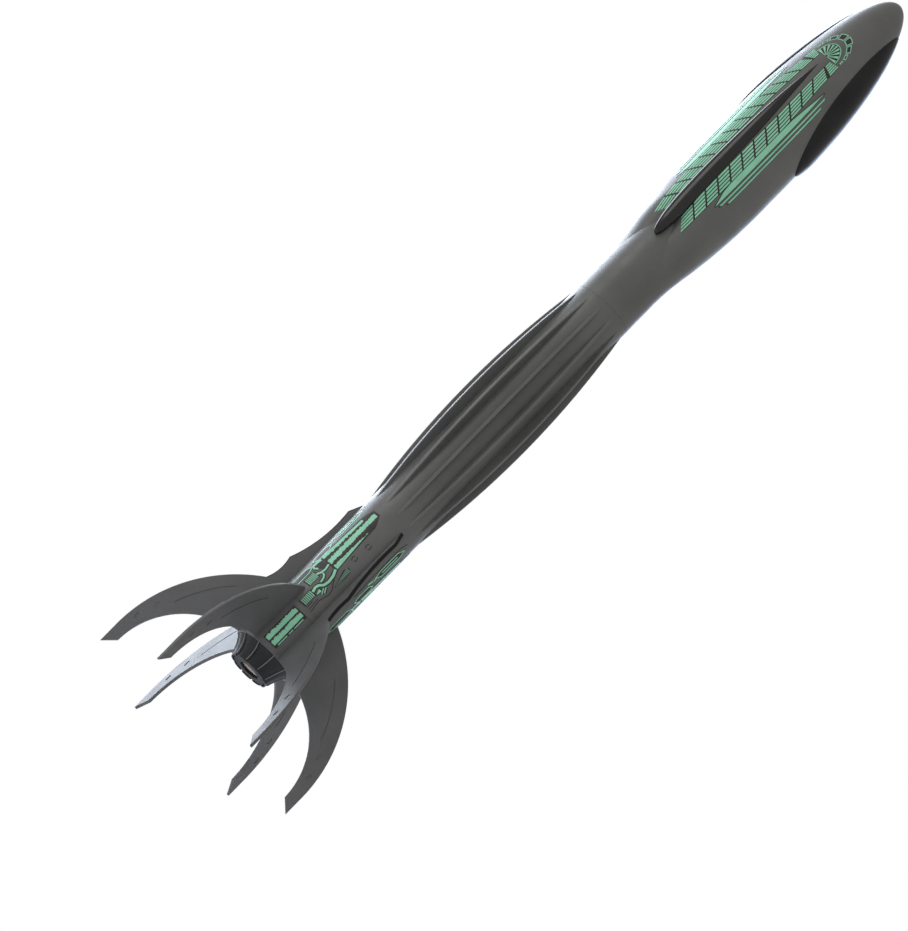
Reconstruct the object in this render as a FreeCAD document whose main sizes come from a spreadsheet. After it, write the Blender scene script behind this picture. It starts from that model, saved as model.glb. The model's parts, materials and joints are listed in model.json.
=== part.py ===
"""A flying model rocket with six sickle fins, twelve strakes and a long bulbous nose.

The rocket stands upright on its six fin tips. The origin is the middle of the plane of the fin tips,
+Z is the rocket's axis towards the nose, and an angle round the rocket is counted from -Y towards +X.
Lengths are in millimetres.
"""
import FreeCAD, Part
import math
import os
import Sketcher
from FreeCAD import Placement, Rotation, Vector

DIMENSIONS = {
    # body tube, a standard spiral-wound paper tube
    "tube_outer_radius": 20.8,
    "tube_inner_radius": 20.25,
    "tube_bottom": 64.0,
    "tube_top": 374.0,
    # nose: a pod with an elliptical front, and two facets that run out over the tube
    "nose_tip": 649.5,
    "nose_radius": 28.3,
    "nose_front_length": 123.1,
    "flare_bottom": 389.5,
    "flare_bend": 430.0,
    "flare_bend_radius": 23.8,
    "crease_top": 437.0,
    "crease_slope": 2.2,
    "nose_wall": 1.4,
    "seat_gap": 0.1,
    "nose_heading": 9.0,
    "hollow_step": 13.0,
    # nose shoulder, its screw eye and the clay in the tip
    "shoulder_radius": 20.17,
    "shoulder_bottom": 344.0,
    "shoulder_wall": 1.6,
    "plug_top": 388.0,
    "eye_wire": 0.8,
    "eye_ring": 3.6,
    "weight_bottom": 628.0,
    # dorsal spine
    "spine_bottom": 427.7,
    "spine_top": 577.4,
    "spine_half_width": 5.4,
    "spine_rise": 2.6,
    "spine_lift": 0.2,
    # eye panels
    "panel_bottom": 522.0,
    "panel_top": 633.0,
    "panel_rise": 1.2,
    "panel_heading": 103.0,
    "panel_half_angle": 51.4,
    # strakes round the middle of the tube
    "strake_bottom": 184.0,
    "strake_top": 369.0,
    "strake_peak_radius": 27.7,
    "strake_thickness": 2.2,
    "strake_edge": 0.4,
    # fins
    "fin_thickness": 2.2,
    "fin_edge": 0.25,
    "fin_root_radius": 18.0,
    "fin_root_bottom": 65.0,
    "fin_root_top": 110.0,
    "fin_span_radius": 79.1,
    "fin_span_top": 12.0,
    "fin_tip_radius": 71.2,
    "fin_tip_top": 7.8,
    "leading_arc": 106.6,
    "trailing_arc": 59.0,
    "saw_radius": 32.7,
    "saw_bottom": 102.0,
    "saw_middle_radius": 31.1,
    "saw_middle": 121.3,
    "saw_end_radius": 24.9,
    "saw_end": 168.3,
    "saw_top": 177.3,
    "saw_short_arc": 30.0,
    "saw_long_arc": 101.0,
    # engraving on the fins
    "recess_depth": 0.35,
    "recess_half_width": 1.1,
    "recess_half_length": 1.2,
    "outer_recess_radius": 73.5,
    "outer_recess_height": 27.4,
    "inner_recess_radius": 69.0,
    "inner_recess_height": 41.2,
    "groove_start_radius": 63.0,
    "groove_start_height": 50.0,
    "groove_end_radius": 42.4,
    "groove_end_height": 84.6,
    "groove_width": 0.6,
    "groove_arc": 97.6,
    # tail sleeve and nozzle
    "sleeve_radius": 21.4,
    "band_radius": 21.8,
    "band_width": 3.2,
    "sleeve_top": 99.3,
    "nozzle_exit": 50.6,
    "nozzle_exit_radius": 14.6,
    "nozzle_top_radius": 20.6,
    "nozzle_arc": 32.0,
    "nozzle_wall": 1.1,
    "nozzle_spigot": 6.0,
    "petal_count": 10.0,
    "petal_notch": 1.6,
    "petal_notch_width": 1.2,
    # motor mount
    "mount_outer_radius": 9.35,
    "mount_inner_radius": 9.0,
    "mount_bottom": 55.0,
    "mount_top": 130.0,
    "ring_thickness": 3.0,
    "rear_ring_bottom": 70.0,
    "front_ring_bottom": 122.0,
    "thrust_bottom": 123.2,
    "thrust_inner_radius": 6.5,
    # screw cap that keeps the motor in
    "collar_radius": 11.2,
    "collar_top": 68.0,
    "cap_inner_radius": 11.26,
    "cap_outer_radius": 12.8,
    "cap_bottom": 51.0,
    "cap_lip": 1.7,
    "cap_hole_radius": 7.3,
    "cap_height": 9.0,
    "cap_groove_width": 1.2,
    "cap_groove_depth": 0.6,
    "cap_groove_count": 12.0,
    # motor
    "motor_radius": 8.92,
    "motor_inner_radius": 6.6,
    "motor_bottom": 53.0,
    "motor_length": 70.0,
    "throat_radius": 1.9,
    "mouth_radius": 3.4,
    "clay_length": 13.0,
    "propellant_length": 30.0,
    "delay_length": 12.0,
    "charge_length": 8.0,
    "clay_cap_length": 4.0,
    # recovery gear
    "parachute_radius": 18.4,
    "parachute_bottom": 262.0,
    "parachute_length": 62.0,
    "wadding_radius": 18.0,
    "wadding_bottom": 232.0,
    "wadding_length": 24.0,
    "anchor_inner_radius": 19.2,
    "anchor_bottom": 296.0,
    "anchor_length": 36.0,
    "anchor_width": 20.0,
    # launch lugs
    "lug_axis_radius": 33.0,
    "lug_inner_radius": 2.1,
    "lug_outer_radius": 2.6,
    "lug_length": 40.0,
    "lug_heading": 225.0,
    "rear_lug_bottom": 122.0,
    "front_lug_bottom": 312.0,
    "standoff_thickness": 2.4,
    "standoff_length": 30.0,
}
FIN_COUNT = 6
STRAKE_COUNT = 12
PETAL_HEADING = 30.0
# the spine's sections, as shares of its length; where it is widest, and how its width falls off above that
SPINE_SECTIONS = (0.002, 0.012, 0.035, 0.08, 0.16, 0.3, 0.45, 0.6, 0.75, 0.86, 0.93, 0.97, 0.998)
SPINE_WIDEST = 0.16
SPINE_TAPER = 1.7
# where an eye panel is widest, as a share of its height, and how full its outline is above that
PANEL_WIDEST = 0.6
PANEL_FULLNESS = 2.4
PANEL_STEPS = 5
PARTS_FOLDER = "parts"
UP = Vector(0, 0, 1)
AXIS = Vector(0, 0, 0)


def arc_radius(span, rise):
    """The radius of the arc that rises by rise in the middle of its span."""
    return span ** 2 / (8 * rise) + rise / 2


strake_span = DIMENSIONS["strake_top"] - DIMENSIONS["strake_bottom"]
strake_rise = DIMENSIONS["strake_peak_radius"] - DIMENSIONS["tube_outer_radius"]
DIMENSIONS["strake_arc"] = round(arc_radius(strake_span, strake_rise), 3)

doc = FreeCAD.newDocument("model_rocket")
sheet = doc.addObject("Spreadsheet::Sheet", "Dims")
for row, (alias, number) in enumerate(DIMENSIONS.items(), start=1):
    sheet.set(f"A{row}", alias)
    sheet.set(f"B{row}", str(number))
    sheet.setAlias(f"B{row}", alias)
doc.recompute()

pieces = []


# ---------------------------------------------------------------- sizes from the sheet

def terms(formula):
    """The signed cell names of a sum such as "tube_top + seat_gap"."""
    sign = 1
    for word in formula.split():
        if word in "+-":
            sign = 1 if word == "+" else -1
        else:
            yield sign, word
            sign = 1


def value(formula):
    """What a sum of cells comes to."""
    return sum(sign * DIMENSIONS[word] for sign, word in terms(formula))


def bind(thing, name, formula):
    """Bind one property or constraint of an object to a sum of the sheet's cells."""
    parts = [("+ " if sign > 0 else "- ") + "Dims." + word for sign, word in terms(formula)]
    thing.setExpression(name, "0 " + " ".join(parts))


def keep(thing, label):
    """Make an object a piece of the rocket, with its own name."""
    thing.Label = label
    pieces.append(thing)
    return thing


def turned(heading):
    """A placement that turns a piece drawn along +X to a heading round the rocket."""
    return Placement(AXIS, Rotation(UP, heading - 90))


# ---------------------------------------------------------------- sketches

def origin_feature(body, role):
    """One of a body's own base planes or axes."""
    return next(f for f in body.Origin.OriginFeatures if f.Role == role)


def arc_through(start, end, radius, turn):
    """The short arc from start to end; turn is 1 where it bends left and -1 where it bends right."""
    chord = end - start
    half = chord.Length / 2
    left = Vector(-chord.y, chord.x, 0).normalize()
    centre = start + chord * 0.5 + left * (turn * math.sqrt(radius ** 2 - half ** 2))
    first, last = (start, end) if turn > 0 else (end, start)
    angles = [math.atan2(p.y - centre.y, p.x - centre.x) for p in (first, last)]
    return Part.ArcOfCircle(Part.Circle(centre, UP, radius), angles[0], angles[1])


def outline(body, name, corners, role="XZ_Plane", lift=0.0):
    """A closed sketch through corners (x, y) whose coordinates are sums of cells.

    A corner may end with (radius, turn): the edge from it to the next corner is then an arc.
    """
    sketch = body.newObject("Sketcher::SketchObject", name)
    sketch.AttachmentSupport = [(origin_feature(body, role), "")]
    sketch.MapMode = "FlatFace"
    sketch.AttachmentOffset = Placement(Vector(0, 0, lift), Rotation())
    points = [Vector(value(corner[0]), value(corner[1]), 0) for corner in corners]
    ends = []
    for index, corner in enumerate(corners):
        start, end = points[index], points[(index + 1) % len(points)]
        if len(corner) > 2:
            radius, turn = corner[2]
            sketch.addGeometry(arc_through(start, end, value(radius), turn))
            spot = sketch.addConstraint(Sketcher.Constraint("Radius", index, value(radius)))
            bind(sketch, f"Constraints[{spot}]", radius)
            ends.append((1, 2) if turn > 0 else (2, 1))
        else:
            sketch.addGeometry(Part.LineSegment(start, end))
            ends.append((1, 2))
    for index, corner in enumerate(corners):
        after = (index + 1) % len(corners)
        here, there = ends[index]
        sketch.addConstraint(Sketcher.Constraint("Coincident", index, there, after, ends[after][0]))
        for kind, formula in (("DistanceX", corner[0]), ("DistanceY", corner[1])):
            number = value(formula)
            spot = sketch.addConstraint(Sketcher.Constraint(kind, -1, 1, index, here, number))
            if formula:
                bind(sketch, f"Constraints[{spot}]", formula)
    return sketch


def spun(label, corners):
    """A body turned about the rocket's axis from an outline of (radius, height) corners."""
    body = doc.addObject("PartDesign::Body", label + "_body")
    sketch = outline(body, label + "_outline", corners)
    turn = body.newObject("PartDesign::Revolution", label + "_turn")
    turn.Profile = sketch
    turn.ReferenceAxis = (sketch, ["V_Axis"])
    turn.Angle = 360
    return body


def plate(label, corners, thickness, edge, root):
    """A flat plate in the XZ plane, chamfered, whose root is cut to the outline of what it sits on."""
    body = doc.addObject("PartDesign::Body", label + "_body")
    pad = body.newObject("PartDesign::Pad", label + "_pad")
    pad.Profile = outline(body, label + "_outline", corners)
    pad.SideType = "Symmetric"
    bind(pad, "Length", thickness)
    doc.recompute()
    inside = value("tube_outer_radius") + 0.01
    face_edges = [f"Edge{number}" for number, e in enumerate(pad.Shape.Edges, start=1)
                  if e.BoundBox.YLength < 1e-6 and e.BoundBox.XMax > inside]
    chamfer = body.newObject("PartDesign::Chamfer", label + "_chamfer")
    chamfer.Base = (pad, face_edges)
    bind(chamfer, "Size", edge)
    groove = body.newObject("PartDesign::Groove", label + "_root")
    sketch = outline(body, label + "_root_outline", root)
    groove.Profile = sketch
    groove.ReferenceAxis = (sketch, ["V_Axis"])
    groove.Angle = 360
    doc.recompute()
    if groove.Shape.Volume >= chamfer.Shape.Volume:
        raise RuntimeError(label + ": its root was not cut")
    return body


# ---------------------------------------------------------------- simple solids

def cylinder(label, radius, bottom, length):
    """An upright cylinder on the rocket's axis."""
    solid = doc.addObject("Part::Cylinder", label)
    bind(solid, "Radius", radius)
    bind(solid, "Height", length)
    bind(solid, "Placement.Base.z", bottom)
    return solid


def tube(label, outer, inner, bottom, length):
    """An upright tube on the rocket's axis."""
    cut = doc.addObject("Part::Cut", label + "_wall")
    cut.Base = cylinder(label + "_outside", outer, bottom, length)
    cut.Tool = cylinder(label + "_inside", inner, bottom, length)
    return cut


# ---------------------------------------------------------------- nose

def smooth_arc(start, direction, end):
    """The arc that leaves start along direction and goes to end."""
    chord = end - start
    normal = Vector(-direction.y, direction.x, 0)
    radius = chord.Length ** 2 / (2 * chord.dot(normal))
    centre = start + normal * radius
    middle = centre + ((start - centre) + (end - centre)).normalize() * abs(radius)
    return Part.Arc(start, middle, end)


def pod_outline(offset):
    """The nose pod's outline from its flare to its tip, moved outwards by offset, as curves in XY."""
    low = Vector(value("tube_outer_radius") + offset, value("flare_bottom"), 0)
    bend = Vector(value("flare_bend_radius") + offset, value("flare_bend"), 0)
    half_turn = math.atan2(bend.x - low.x, bend.y - low.y)
    wide = value("nose_radius") + offset
    high = Vector(wide, flare_top(), 0)
    waist = Vector(wide, value("nose_tip - nose_front_length"), 0)
    leaving = Vector(math.sin(2 * half_turn), math.cos(2 * half_turn), 0)
    long_half = value("nose_front_length") + offset
    front = Part.Ellipse(Vector(0, waist.y + long_half, 0), Vector(wide, waist.y, 0),
                         Vector(0, waist.y, 0))
    return [
        smooth_arc(low, Vector(0, 1, 0), bend),
        smooth_arc(bend, leaving, high),
        Part.LineSegment(high, waist),
        Part.ArcOfEllipse(front, 0, math.pi / 2),
    ]


def flare_top():
    """Where the flare reaches the pod's full radius, with no kink at its bend."""
    half_turn = math.atan2(value("flare_bend_radius - tube_outer_radius"), value("flare_bend - flare_bottom"))
    return value("flare_bend") + value("nose_radius - flare_bend_radius") / math.tan(half_turn)


def bow(rise, run, along):
    """How far an arc that starts level and climbs by rise over run has climbed after along."""
    radius = (rise ** 2 + run ** 2) / (2 * rise)
    return radius - math.sqrt(radius ** 2 - along ** 2)


def pod_radius(height):
    """The pod's outer radius at one height."""
    waist, bend, bottom = value("nose_tip - nose_front_length"), value("flare_bend"), value("flare_bottom")
    if height > waist:
        return value("nose_radius") * math.sqrt(1 - ((height - waist) / value("nose_front_length")) ** 2)
    if height > flare_top():
        return value("nose_radius")
    if height > bend:
        rise = value("nose_radius - flare_bend_radius")
        return value("nose_radius") - bow(rise, flare_top() - bend, flare_top() - height)
    rise = value("flare_bend_radius - tube_outer_radius")
    return value("tube_outer_radius") + bow(rise, bend - bottom, max(0.0, height - bottom))


def upright(curves):
    """Edges drawn as (radius, height) in XY, stood up in the XZ plane."""
    edges = [curve.toShape() for curve in curves]
    for edge in edges:
        edge.rotate(AXIS, Vector(1, 0, 0), 90)
    return edges


def turned_solid(curves):
    """A solid of revolution about Z whose outline is closed along the axis."""
    edges = upright(curves)
    wire = Part.Wire(Part.__sortEdges__(edges))
    return Part.Face(wire).revolve(AXIS, UP, 360)


def line(*points):
    """The straight edges that join (radius, height) points."""
    spots = [Vector(x, y, 0) for x, y in points]
    return [Part.LineSegment(a, b) for a, b in zip(spots, spots[1:])]


def pod(offset, floor):
    """The whole pod as one solid, moved outwards by offset, with a straight skirt down to floor."""
    tip = value("nose_tip") + offset
    radius = value("tube_outer_radius") + offset
    closing = line((0, tip), (0, floor), (radius, floor), (radius, value("flare_bottom")))
    return turned_solid(pod_outline(offset) + closing)


def facet_wedge():
    """The space between the two slanted planes that cut the pod's front and back flare."""
    crease, slope = value("crease_top"), value("crease_slope")
    radius, tip = value("tube_outer_radius"), value("nose_tip")
    low = crease - radius * slope
    reach = (tip - low) / slope
    across = ((0, low), (-reach, tip), (reach, tip), (0, low))
    face = Part.Face(Part.makePolygon([Vector(-reach, y, z) for y, z in across]))
    return face.extrude(Vector(2 * reach, 0, 0))


def nose_outside():
    """The nose's outer form: the pod between its facets, and the tube-sized neck below them."""
    seat = value("tube_top + seat_gap")
    flared = pod(0.0, seat).common(facet_wedge())
    neck = Part.makeCylinder(value("tube_outer_radius"), value("crease_top") - seat, Vector(0, 0, seat))
    return flared.fuse(neck).removeSplitter()


def nose_hollow():
    """The room inside the nose shell."""
    wall, crease = value("nose_wall"), value("crease_top")
    seat = value("tube_top")
    bore = value("tube_outer_radius") - wall
    inner = pod(-wall, seat)
    step = crease + value("hollow_step")
    wide = value("nose_radius")
    neck = turned_solid(line((0, seat), (bore, seat), (bore, crease), (wide, step), (0, step), (0, seat)))
    above = Part.makeCylinder(wide, value("nose_tip") - step, Vector(0, 0, step))
    return inner.common(neck.fuse(above))


def feature(label, shape):
    """A piece of the nose whose shape is worked out here; the nose is turned a little against the fins."""
    thing = doc.addObject("Part::Feature", label)
    thing.Shape = shape
    thing.Placement = Placement(AXIS, Rotation(UP, value("nose_heading")))
    return keep(thing, label)


def make_nose():
    """The hollow shell, and the clay pressed into its tip."""
    outside, hollow = nose_outside(), nose_hollow()
    feature("nose_shell", outside.cut(hollow))
    bottom = value("weight_bottom")
    slice_above = Part.makeCylinder(value("nose_radius"), value("nose_tip") - bottom, Vector(0, 0, bottom))
    feature("nose_weight", hollow.common(slice_above))
    return outside


def make_shoulder():
    """The plug that closes the nose and slides in the body tube, with a screw eye in its floor."""
    plug = "tube_outer_radius - nose_wall"
    corners = [
        ("", "shoulder_bottom"),
        ("shoulder_radius", "shoulder_bottom"),
        ("shoulder_radius", "tube_top + seat_gap"),
        (plug, "tube_top + seat_gap"),
        (plug, "plug_top"),
        (plug + " - shoulder_wall", "plug_top"),
        (plug + " - shoulder_wall", "shoulder_bottom + shoulder_wall"),
        ("", "shoulder_bottom + shoulder_wall"),
    ]
    keep(spun("nose_shoulder", corners), "nose_shoulder")
    ring = doc.addObject("Part::Torus", "eye_loop")
    bind(ring, "Radius1", "eye_ring")
    bind(ring, "Radius2", "eye_wire")
    ring.Placement.Rotation = Rotation(Vector(1, 0, 0), 90)
    bind(ring, "Placement.Base.z", "shoulder_bottom - eye_ring - eye_wire")
    shank = cylinder("eye_shank", "eye_wire", "shoulder_bottom - eye_wire - eye_wire", "eye_wire + eye_wire")
    eye = doc.addObject("Part::Fuse", "eye_fuse")
    eye.Base, eye.Tool = ring, shank
    keep(eye, "screw_eye")


def make_spine(outside):
    """The long blister on the nose's back: round at its foot, drawn out to a point at its top."""
    bottom, top = value("spine_bottom"), value("spine_top")
    half_width, rise = value("spine_half_width"), value("spine_rise")
    crease, slope, neck = value("crease_top"), value("crease_slope"), value("tube_outer_radius")
    sections = []
    for share in SPINE_SECTIONS:
        height = bottom + share * (top - bottom)
        if share < SPINE_WIDEST:
            size = math.sqrt(1 - (1 - share / SPINE_WIDEST) ** 2)
        else:
            size = 1 - ((share - SPINE_WIDEST) / (1 - SPINE_WIDEST)) ** SPINE_TAPER
        facet = neck + max(0.0, height - crease) / slope
        middle = Vector(0, -min(facet, pod_radius(height)) - value("spine_lift"), height)
        across, out = Vector(half_width * size, 0, 0), Vector(0, -rise * size, 0)
        ellipse = Part.Ellipse(middle + across, middle + out, middle)
        sections.append(Part.Wire([ellipse.toShape()]))
    blister = Part.makeLoft(sections, True).cut(outside)
    feature("nose_spine", max(blister.Solids, key=lambda solid: solid.Volume))


def panel_edge():
    """The eye panel's outline as (half angle, height): an ellipse below its widest point, fuller above."""
    bottom, top = value("panel_bottom"), value("panel_top")
    widest = bottom + PANEL_WIDEST * (top - bottom)
    half_angle = value("panel_half_angle")
    lower, upper = [], []
    for step in range(1, PANEL_STEPS):
        share = step / PANEL_STEPS
        turn = share * math.pi / 2
        lower.append((half_angle * math.sin(turn), widest - (widest - bottom) * math.cos(turn)))
        fuller = (1 - share ** PANEL_FULLNESS) ** (1 / PANEL_FULLNESS)
        upper.append((half_angle * fuller, widest + (top - widest) * share))
    side = lower + [(half_angle, widest)] + upper
    return [(0.0, bottom)] + side + [(0.0, top)] + [(-angle, height) for angle, height in reversed(side)]


def make_eye_panels(outside):
    """The two dark panels that wrap round the front of the nose, one each side."""
    rise, heading = value("panel_rise"), value("panel_heading")
    layer = pod(rise, value("panel_bottom")).cut(outside)
    points = [Vector(0, pod_radius(height) * math.sin(math.radians(angle)), height)
              for angle, height in panel_edge()]
    curve = Part.BSplineCurve()
    curve.interpolate(points, PeriodicFlag=True)
    prism = Part.Face(Part.Wire([curve.toShape()])).extrude(Vector(2 * value("nose_radius"), 0, 0))
    for label, side in (("eye_panel_right", heading), ("eye_panel_left", -heading)):
        cutter = prism.copy()
        cutter.rotate(AXIS, UP, side - 90)
        feature(label, layer.common(cutter))


# ---------------------------------------------------------------- tube, sleeve, fins and strakes

SLEEVE_SIDE = [
    ("band_radius", "tube_bottom"),
    ("band_radius", "tube_bottom + band_width"),
    ("sleeve_radius", "tube_bottom + band_width"),
    ("sleeve_radius", "sleeve_top - band_width"),
    ("band_radius", "sleeve_top - band_width"),
    ("band_radius", "sleeve_top"),
]


def make_body_tube():
    """The paper tube, and the sleeve round its tail that the fins stand on."""
    keep(tube("body_tube", "tube_outer_radius", "tube_inner_radius", "tube_bottom", "tube_top - tube_bottom"),
         "body_tube")
    inside = [("tube_outer_radius", "sleeve_top"), ("tube_outer_radius", "tube_bottom")]
    keep(spun("tail_sleeve", SLEEVE_SIDE + inside), "tail_sleeve")


def fin_root():
    """What a fin's root is cut by: the sleeve with its bands, and the tube above it."""
    above = [("tube_outer_radius", "sleeve_top"), ("tube_outer_radius", "strake_bottom")]
    return [("", "")] + [("band_radius", "")] + SLEEVE_SIDE[1:] + above + [("", "strake_bottom")]


def fin_outline(saw):
    """A sickle fin; the saw kind carries on up the tube in two scooped steps."""
    corners = [
        ("fin_root_radius", "fin_root_bottom"),
        ("tube_outer_radius", "fin_root_bottom", ("trailing_arc", -1)),
        ("fin_tip_radius", "fin_tip_top"),
        ("fin_span_radius", ""),
    ]
    if saw:
        corners += [
            ("fin_span_radius", "fin_span_top", ("leading_arc", 1)),
            ("saw_radius", "saw_bottom", ("saw_short_arc", -1)),
            ("saw_middle_radius", "saw_middle", ("saw_long_arc", -1)),
            ("saw_end_radius", "saw_end"),
            ("tube_outer_radius", "saw_top"),
            ("fin_root_radius", "saw_top"),
        ]
    else:
        corners += [
            ("fin_span_radius", "fin_span_top", ("leading_arc", 1)),
            ("tube_outer_radius", "fin_root_top"),
            ("fin_root_radius", "fin_root_top"),
        ]
    return corners


def slot_outline(radius, height):
    """A small upright oval: two straight sides between two round ends."""
    left, right = radius + " - recess_half_width", radius + " + recess_half_width"
    low, high = height + " - recess_half_length", height + " + recess_half_length"
    round_end = ("recess_half_width", 1)
    return [(left, low, round_end), (right, low), (right, high, round_end), (left, high)]


def engrave(body, label):
    """Two ovals and a curved line, sunk in both faces of a fin."""
    depth = value("fin_thickness") / 2 - value("recess_depth")
    line_out, line_in = ("groove_arc", 1), ("groove_arc", -1)
    outlines = {
        "outer_oval": slot_outline("outer_recess_radius", "outer_recess_height"),
        "inner_oval": slot_outline("inner_recess_radius", "inner_recess_height"),
        "curved_line": [
            ("groove_start_radius", "groove_start_height", line_out),
            ("groove_end_radius", "groove_end_height"),
            ("groove_end_radius - groove_width", "groove_end_height - groove_width", line_in),
            ("groove_start_radius - groove_width", "groove_start_height - groove_width"),
        ],
    }
    cuts = []
    for name, corners in outlines.items():
        pocket = body.newObject("PartDesign::Pocket", f"{label}_{name}")
        pocket.Profile = outline(body, f"{label}_{name}_outline", corners, lift=depth)
        pocket.Reversed = True
        bind(pocket, "Length", "fin_thickness")
        cuts.append(pocket)
    mirror = body.newObject("PartDesign::Mirrored", label + "_both_faces")
    mirror.Originals = cuts
    mirror.MirrorPlane = (origin_feature(body, "XZ_Plane"), [""])
    body.Tip = mirror


def make_fins():
    """Six fins: the saw kind and the plain kind take turns round the tail."""
    for number in range(FIN_COUNT):
        saw = number % 2 == 1
        label = f"fin_{number + 1}"
        body = plate(label, fin_outline(saw), "fin_thickness", "fin_edge", fin_root())
        before = body.Shape.Volume
        engrave(body, label)
        body.Placement = turned(number * 360 / FIN_COUNT)
        doc.recompute()
        if body.Shape.Volume >= before:
            raise RuntimeError(label + ": the engraving cut nothing")
        keep(body, label)


def make_strakes():
    """Twelve thin bow-shaped ribs round the middle of the tube."""
    corners = [
        ("fin_root_radius", "strake_bottom"),
        ("tube_outer_radius", "strake_bottom", ("strake_arc", 1)),
        ("tube_outer_radius", "strake_top"),
        ("fin_root_radius", "strake_top"),
    ]
    root = [
        ("", "saw_top"),
        ("tube_outer_radius", "saw_top"),
        ("tube_outer_radius", "tube_top"),
        ("", "tube_top"),
    ]
    for number in range(STRAKE_COUNT):
        label = f"strake_{number + 1:02d}"
        body = plate(label, corners, "strake_thickness", "strake_edge", root)
        body.Placement = turned(number * 360 / STRAKE_COUNT)
        keep(body, label)


# ---------------------------------------------------------------- nozzle and motor mount

def make_nozzle():
    """The petalled tail nozzle, with a spigot that is glued in the body tube."""
    corners = [
        ("nozzle_exit_radius - nozzle_wall", "nozzle_exit"),
        ("nozzle_exit_radius", "nozzle_exit", ("nozzle_arc", -1)),
        ("nozzle_top_radius", "tube_bottom"),
        ("tube_inner_radius", "tube_bottom"),
        ("tube_inner_radius", "tube_bottom + nozzle_spigot"),
        ("nozzle_top_radius - nozzle_wall", "tube_bottom + nozzle_spigot"),
        ("nozzle_top_radius - nozzle_wall", "tube_bottom", ("nozzle_arc", 1)),
    ]
    body = spun("tail_nozzle", corners)
    doc.recompute()
    whole = body.Shape.Volume
    notch = body.newObject("PartDesign::Pocket", "petal_notch")
    notch.Profile = outline(body, "petal_notch_outline", [
        ("petal_notch_width", "nozzle_exit - petal_notch"),
        ("", "nozzle_exit + petal_notch"),
        ("- petal_notch_width", "nozzle_exit - petal_notch"),
    ])
    bind(notch, "Length", "nozzle_top_radius")
    pattern = body.newObject("PartDesign::PolarPattern", "petals")
    pattern.Originals = [notch]
    pattern.Axis = (origin_feature(body, "Z_Axis"), [""])
    pattern.Angle = 360
    pattern.Occurrences = int(value("petal_count"))
    body.Tip = pattern
    half_petal = 180 / value("petal_count")
    body.Placement = Placement(AXIS, Rotation(UP, PETAL_HEADING + half_petal))
    doc.recompute()
    if body.Shape.Volume >= whole:
        raise RuntimeError("the petals' notches cut nothing")
    keep(body, "tail_nozzle")


def make_motor_mount():
    """The inner tube that holds the motor, its rings, and the collar that the cap screws on."""
    height = "mount_top - mount_bottom"
    keep(tube("motor_tube", "mount_outer_radius", "mount_inner_radius", "mount_bottom", height), "motor_tube")
    for place, bottom in (("rear", "rear_ring_bottom"), ("front", "front_ring_bottom")):
        label = "centering_ring_" + place
        ring = tube(label, "tube_inner_radius", "mount_outer_radius", bottom, "ring_thickness")
        keep(ring, label)
    height = "mount_top - thrust_bottom"
    stop = tube("thrust_ring", "mount_inner_radius", "thrust_inner_radius", "thrust_bottom", height)
    keep(stop, "thrust_ring")
    height = "collar_top - mount_bottom"
    collar = tube("retainer_collar", "collar_radius", "mount_outer_radius", "mount_bottom", height)
    keep(collar, "retainer_collar")
    cap = spun("retainer_cap", [
        ("cap_hole_radius", "cap_bottom"),
        ("cap_outer_radius", "cap_bottom"),
        ("cap_outer_radius", "cap_bottom + cap_height"),
        ("cap_inner_radius", "cap_bottom + cap_height"),
        ("cap_inner_radius", "cap_bottom + cap_lip"),
        ("cap_hole_radius", "cap_bottom + cap_lip"),
    ])
    doc.recompute()
    whole = cap.Shape.Volume
    grip = cap.newObject("PartDesign::Pocket", "cap_grip")
    far, near = "cap_outer_radius + cap_groove_depth", "cap_outer_radius - cap_groove_depth"
    grip.Profile = outline(cap, "cap_grip_outline", [
        (near, "- cap_groove_depth"), (far, "- cap_groove_width"),
        (far, "cap_groove_width"), (near, "cap_groove_depth"),
    ], role="XY_Plane")
    grip.Type = "ThroughAll"
    grip.SideType = "Symmetric"
    pattern = cap.newObject("PartDesign::PolarPattern", "cap_grips")
    pattern.Originals = [grip]
    pattern.Axis = (origin_feature(cap, "Z_Axis"), [""])
    pattern.Angle = 360
    pattern.Occurrences = int(value("cap_groove_count"))
    cap.Tip = pattern
    doc.recompute()
    if cap.Shape.Volume >= whole:
        raise RuntimeError("the cap's grip grooves cut nothing")
    keep(cap, "retainer_cap")


def make_motor():
    """The motor: a paper casing round a clay nozzle, propellant, delay, ejection charge and clay cap."""
    casing = tube("motor_casing", "motor_radius", "motor_inner_radius", "motor_bottom", "motor_length")
    keep(casing, "motor_casing")
    nozzle = spun("motor_nozzle", [
        ("mouth_radius", "motor_bottom"),
        ("motor_inner_radius", "motor_bottom"),
        ("motor_inner_radius", "motor_bottom + clay_length"),
        ("throat_radius", "motor_bottom + clay_length"),
        ("throat_radius", "motor_bottom + clay_cap_length"),
    ])
    keep(nozzle, "motor_nozzle")
    bottom = "motor_bottom + clay_length"
    for label, length in (("propellant_grain", "propellant_length"), ("delay_grain", "delay_length"),
                          ("ejection_charge", "charge_length"), ("clay_cap", "clay_cap_length")):
        keep(cylinder(label + "_solid", "motor_inner_radius", bottom, length), label)
        bottom += " + " + length


# ---------------------------------------------------------------- recovery gear and launch lugs

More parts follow.
